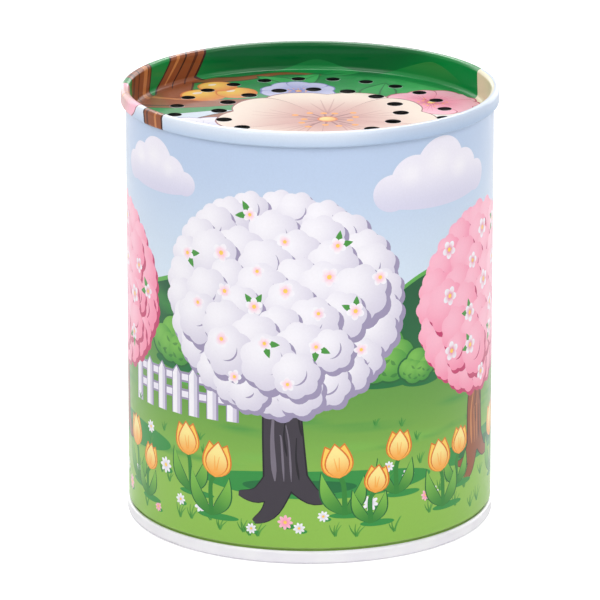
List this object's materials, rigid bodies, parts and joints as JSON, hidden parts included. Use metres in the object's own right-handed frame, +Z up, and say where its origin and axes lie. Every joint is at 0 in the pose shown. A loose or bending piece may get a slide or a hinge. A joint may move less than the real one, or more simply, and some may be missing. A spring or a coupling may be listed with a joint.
{
  "type": "animal sound toy",
  "caption": "Short round seamed tin with a recessed, perforated top; turned over and back, a weighted bellows inside it blows a reed.",
  "frame": {"origin": "centre of the standing rim, on the surface that the tin stands on", "axes": "+Z up along the tin's axis, -Y the front that the picture shows, +Y the lock seam"},
  "size_m": [0.065, 0.065, 0.076],
  "materials": {
    "printed_wall": "gloss",
    "printed_top": "gloss",
    "white_coating": "gloss",
    "felt": "matte",
    "corrugated_card": "matte",
    "case_plastic": "satin",
    "cover_plastic": "matte",
    "bellows_film": "satin",
    "clamp_plastic": "satin",
    "piston_plastic": "satin",
    "weight_steel": "satin",
    "spring_steel": "satin",
    "reed_plastic": "satin",
    "reed_brass": "satin",
    "flap_film": "satin",
    "stud_plastic": "satin"
  },
  "bodies": {
    "housing": {"tin_body": "printed_wall", "top_end": "printed_top", "bottom_end": "white_coating", "lower_packing": "felt", "upper_packing": "felt", "card_sleeve": "corrugated_card", "case_tube": "case_plastic", "case_base": "case_plastic", "case_cover": "cover_plastic", "base_bumper": "felt", "cover_bumper": "felt", "bellows": "bellows_film", "bellows_base_ring": "clamp_plastic", "valve_stud": "stud_plastic"},
    "drive": {"piston": "piston_plastic", "bellows_piston_ring": "clamp_plastic", "weight_ring": "weight_steel", "weight_clip": "spring_steel", "reed_holder": "reed_plastic", "reed_shallot": "reed_plastic", "reed_wedge": "reed_plastic", "reed_tongue_root": "reed_brass"},
    "tongue": {"reed_tongue": "reed_brass"},
    "flap": {"valve_flap": "flap_film"}
  },
  "joints": [
    {"name": "piston_travel", "type": "slide", "parent": "housing", "child": "drive", "axis": [0, 0, 1], "range_m": [0, 0.0262], "deforming": ["bellows"]},
    {"name": "tongue_swing", "type": "hinge", "parent": "drive", "child": "tongue", "pos_m": [0, -0.00033, 0.0204], "axis": [1, 0, 0], "range_deg": [-2.5, 3.6], "stiffness_Nm_per_rad": 0.003},
    {"name": "flap_lift", "type": "slide", "parent": "housing", "child": "flap", "axis": [0, 0, 1], "range_m": [0, 0.0012]}
  ]
}
